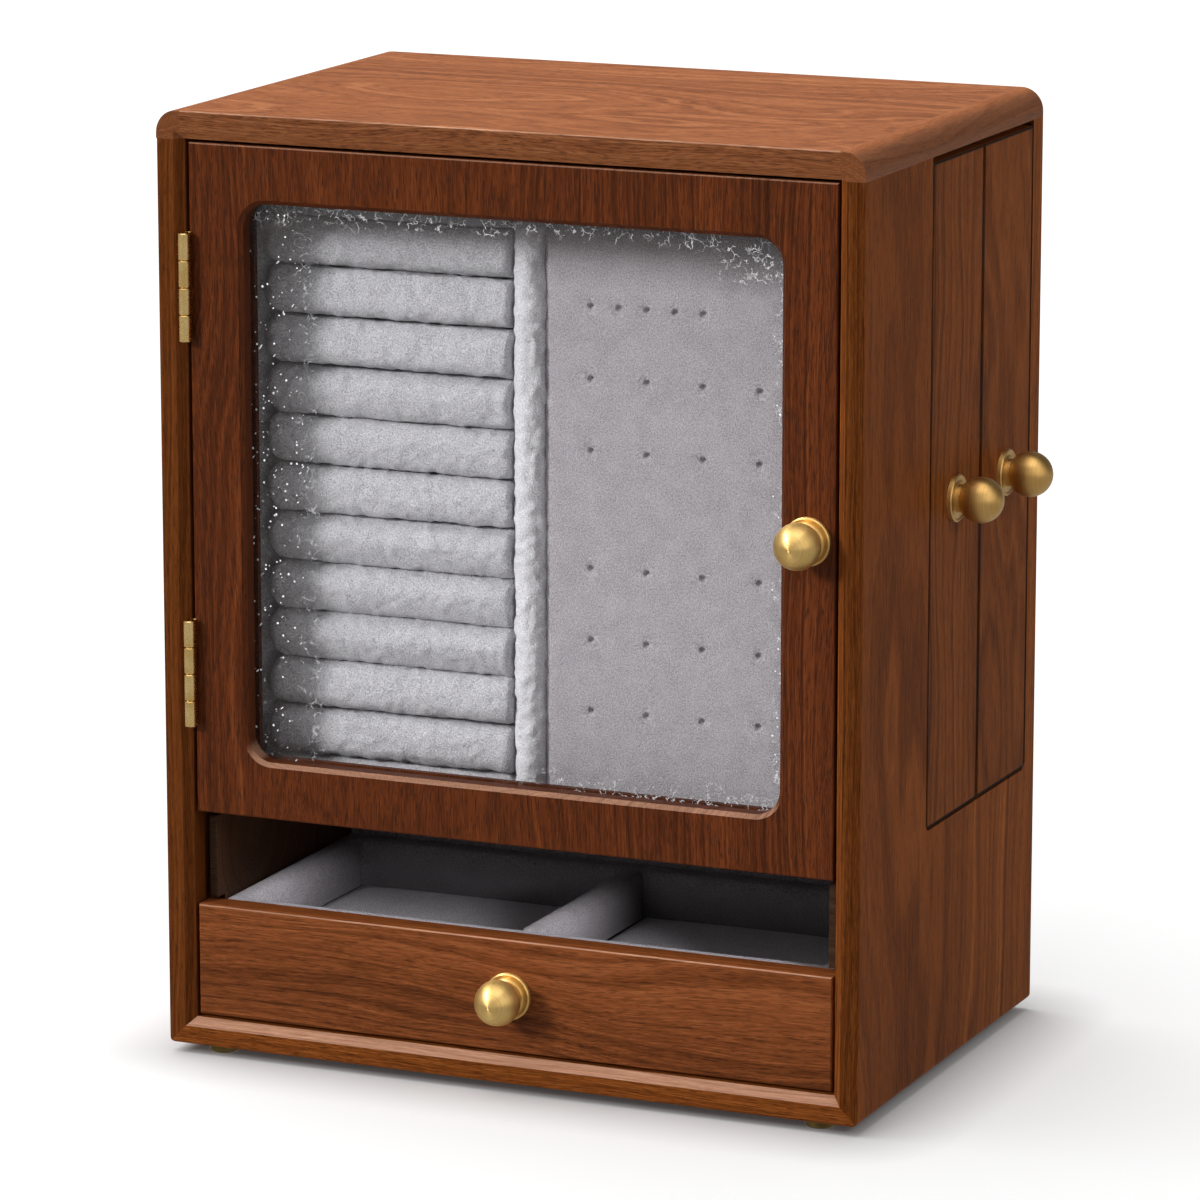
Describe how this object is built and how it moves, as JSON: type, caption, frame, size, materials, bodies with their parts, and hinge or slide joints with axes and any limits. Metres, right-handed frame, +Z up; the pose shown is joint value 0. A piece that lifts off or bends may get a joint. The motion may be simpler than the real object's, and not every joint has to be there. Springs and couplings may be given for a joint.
{
  "type": "jewellery cabinet",
  "caption": "Walnut jewellery cabinet with a glazed door over ring rolls and an earring board, a velvet-lined drawer in an open bay and tall necklace pull-outs in the side.",
  "frame": {"origin": "middle of the whole footprint, knobs included, on the surface that the feet stand on", "axes": "+Z up, -Y to the front (door and drawer), +X to the side with the necklace pull-outs"},
  "size_m": [0.2776, 0.1864, 0.3345],
  "materials": {
    "walnut_top": "satin lacquer",
    "walnut_side": "satin lacquer",
    "walnut_door": "satin lacquer",
    "walnut_drawer": "satin lacquer",
    "walnut_inner": "thin lacquer",
    "velvet_light": "short pile",
    "velvet_dark": "short pile",
    "satin_brass": "turned and brushed",
    "polished_brass": "polished",
    "steel": "zinc plated",
    "clear_glass": "clear, with a rippled margin"
  },
  "bodies": {
    "carcass": {"top_panel": "walnut_top", "top_lippings": "walnut_side", "left_side": "walnut_side", "right_side": "walnut_side", "bottom_panel": "walnut_drawer", "back_panel": "walnut_inner", "shelf": "walnut_inner", "partition": "walnut_inner", "bay_back": "velvet_dark", "drawer_guides": "walnut_inner", "feet": "satin_brass", "ring_board": "velvet_light", "ring_border": "velvet_light", "centre_bolster": "velvet_light", "earring_board": "velvet_light", "hinge_frame_leaves": "polished_brass", "hinge_pins": "polished_brass", "hinge_frame_screws": "polished_brass", "catch_block": "walnut_inner", "catch_magnet": "steel", "pullout_guides": "walnut_inner", "ring_roll_01": "velvet_light", "ring_roll_02": "velvet_light", "ring_roll_03": "velvet_light", "ring_roll_04": "velvet_light", "ring_roll_05": "velvet_light", "ring_roll_06": "velvet_light", "ring_roll_07": "velvet_light", "ring_roll_08": "velvet_light", "ring_roll_09": "velvet_light", "ring_roll_10": "velvet_light", "ring_roll_11": "velvet_light", "ring_roll_12": "velvet_light"},
    "door": {"door_frame": "walnut_door", "glass_pane": "clear_glass", "glazing_beads": "walnut_door", "hinge_door_leaves": "polished_brass", "hinge_door_screws": "polished_brass", "strike_plate": "steel", "door_knob": "satin_brass", "door_knob_screw": "steel"},
    "drawer": {"drawer_front": "walnut_drawer", "drawer_side_walls": "walnut_inner", "drawer_cross_walls": "walnut_inner", "drawer_bottom": "walnut_inner", "drawer_lining": "velvet_dark", "drawer_pads": "velvet_dark", "drawer_divider": "velvet_dark", "drawer_knob": "satin_brass", "drawer_knob_screw": "steel"},
    "pullout_1": {"pullout_1_front": "walnut_side", "pullout_1_frame": "walnut_inner", "pullout_1_hooks": "satin_brass", "pullout_1_knob": "satin_brass", "pullout_1_screw": "steel"},
    "pullout_2": {"pullout_2_front": "walnut_side", "pullout_2_frame": "walnut_inner", "pullout_2_hooks": "satin_brass", "pullout_2_knob": "satin_brass", "pullout_2_screw": "steel"}
  },
  "joints": [
    {"name": "door_hinge", "type": "hinge", "parent": "carcass", "child": "door", "pos_m": [-0.1287, -0.07845, 0.2055], "axis": [0, 0, -1], "range_deg": [0, 110]},
    {"name": "drawer_slide", "type": "slide", "parent": "carcass", "child": "drawer", "axis": [0, -1, 0], "range_m": [0, 0.085]},
    {"name": "pullout_1_slide", "type": "slide", "parent": "carcass", "child": "pullout_1", "axis": [1, 0, 0], "range_m": [0, 0.18]},
    {"name": "pullout_2_slide", "type": "slide", "parent": "carcass", "child": "pullout_2", "axis": [1, 0, 0], "range_m": [0, 0.18]}
  ]
}
